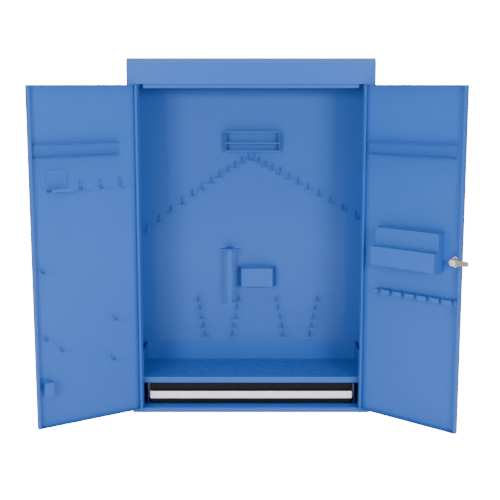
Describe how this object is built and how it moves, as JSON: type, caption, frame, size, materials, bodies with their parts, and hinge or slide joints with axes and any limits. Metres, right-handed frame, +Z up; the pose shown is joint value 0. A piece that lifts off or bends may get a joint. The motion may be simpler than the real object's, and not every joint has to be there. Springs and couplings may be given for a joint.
{
  "type": "wall tool cabinet",
  "caption": "Two-door sheet-steel wall tool cabinet with welded tool hooks, racks, bins, a tool tray and a shallow drawer on slides; the doors stand open.",
  "frame": {"origin": "centre of the cabinet's base, on the plane it would stand on", "axes": "+X to the viewer's right, +Y to the wall behind, +Z up"},
  "size_m": [1.0168, 0.4209, 0.9],
  "materials": {
    "blue_paint": "smooth semi-gloss powder coat",
    "black_paint": "black powder coat",
    "aluminium": "brushed, anodised",
    "slide_steel": "zinc-plated, drawn",
    "lock_chrome": "polished",
    "cam_zinc": "yellow passivated",
    "lever_plastic": "moulded"
  },
  "bodies": {
    "cabinet": {"left_side_panel": "blue_paint", "right_side_panel": "blue_paint", "top_panel": "blue_paint", "bottom_panel": "blue_paint", "back_panel": "blue_paint", "bit_rack": "blue_paint", "long_tool_bar": "blue_paint", "back_pocket": "blue_paint", "tool_tray": "blue_paint", "left_drawer_cheek": "blue_paint", "right_drawer_cheek": "blue_paint", "left_slide_outer": "slide_steel", "right_slide_outer": "slide_steel", "left_hinge_body_leaf": "blue_paint", "right_hinge_body_leaf": "blue_paint", "left_hinge_pin": "slide_steel", "right_hinge_pin": "slide_steel"},
    "left_door": {"left_hinge_door_leaf": "blue_paint", "left_door_panel": "blue_paint", "left_door_rack": "blue_paint", "pliers_bracket": "blue_paint", "tape_bracket": "blue_paint", "left_door_hook_1": "blue_paint", "left_door_hook_2": "blue_paint", "left_door_hook_3": "blue_paint", "left_door_hook_4": "blue_paint", "left_door_hook_5": "blue_paint", "left_door_hook_6": "blue_paint", "left_door_hook_7": "blue_paint", "left_door_hook_8": "blue_paint"},
    "right_door": {"right_hinge_door_leaf": "blue_paint", "right_door_panel": "blue_paint", "right_door_rack": "blue_paint", "bin_rear": "blue_paint", "bin_front": "blue_paint", "slotted_rack": "blue_paint", "lock_housing": "lock_chrome", "lock_nut": "lock_chrome"},
    "lock": {"lock_plug": "lock_chrome", "lock_cam": "cam_zinc", "lock_screw": "lock_chrome"},
    "left_slide": {"left_slide_middle": "slide_steel"},
    "right_slide": {"right_slide_middle": "slide_steel"},
    "drawer": {"drawer_floor": "black_paint", "drawer_back": "black_paint", "left_drawer_side": "black_paint", "right_drawer_side": "black_paint", "drawer_front": "black_paint", "drawer_pull": "aluminium", "left_slide_inner": "slide_steel", "right_slide_inner": "slide_steel", "left_slide_rivet_1": "slide_steel", "left_slide_rivet_2": "slide_steel", "right_slide_rivet_1": "slide_steel", "right_slide_rivet_2": "slide_steel"},
    "left_release": {"left_slide_lever": "lever_plastic"},
    "right_release": {"right_slide_lever": "lever_plastic"}
  },
  "joints": [
    {"name": "left_door_hinge", "type": "hinge", "parent": "cabinet", "child": "left_door", "pos_m": [-0.284, -0.1015, 0.425], "axis": [0, 0, -1], "range_deg": [-145.9, 29.1]},
    {"name": "right_door_hinge", "type": "hinge", "parent": "cabinet", "child": "right_door", "pos_m": [0.284, -0.1015, 0.425], "axis": [0, 0, 1], "range_deg": [-137.7, 37.3]},
    {"name": "lock_turn", "type": "hinge", "parent": "right_door", "child": "lock", "pos_m": [0.47926, -0.27918, 0.428], "axis": [-0.673, -0.7396, 0], "range_deg": [0, 90]},
    {"name": "drawer_slide", "type": "slide", "parent": "cabinet", "child": "drawer", "axis": [0, -1, 0], "range_m": [0, 0.12]},
    {"name": "left_middle_slide", "type": "slide", "parent": "cabinet", "child": "left_slide", "axis": [0, -1, 0], "range_m": [0, 0.06]},
    {"name": "right_middle_slide", "type": "slide", "parent": "cabinet", "child": "right_slide", "axis": [0, -1, 0], "range_m": [0, 0.06]},
    {"name": "left_release_lever", "type": "hinge", "parent": "drawer", "child": "left_release", "pos_m": [-0.259, 0.05, 0.0455], "axis": [1, 0, 0], "range_deg": [0, 5]},
    {"name": "right_release_lever", "type": "hinge", "parent": "drawer", "child": "right_release", "pos_m": [0.259, 0.05, 0.0455], "axis": [-1, 0, 0], "range_deg": [0, 5]}
  ],
  "couplings": [
    {"joint": "left_middle_slide", "follows": "drawer_slide", "ratio": 0.5},
    {"joint": "right_middle_slide", "follows": "drawer_slide", "ratio": 0.5}
  ]
}
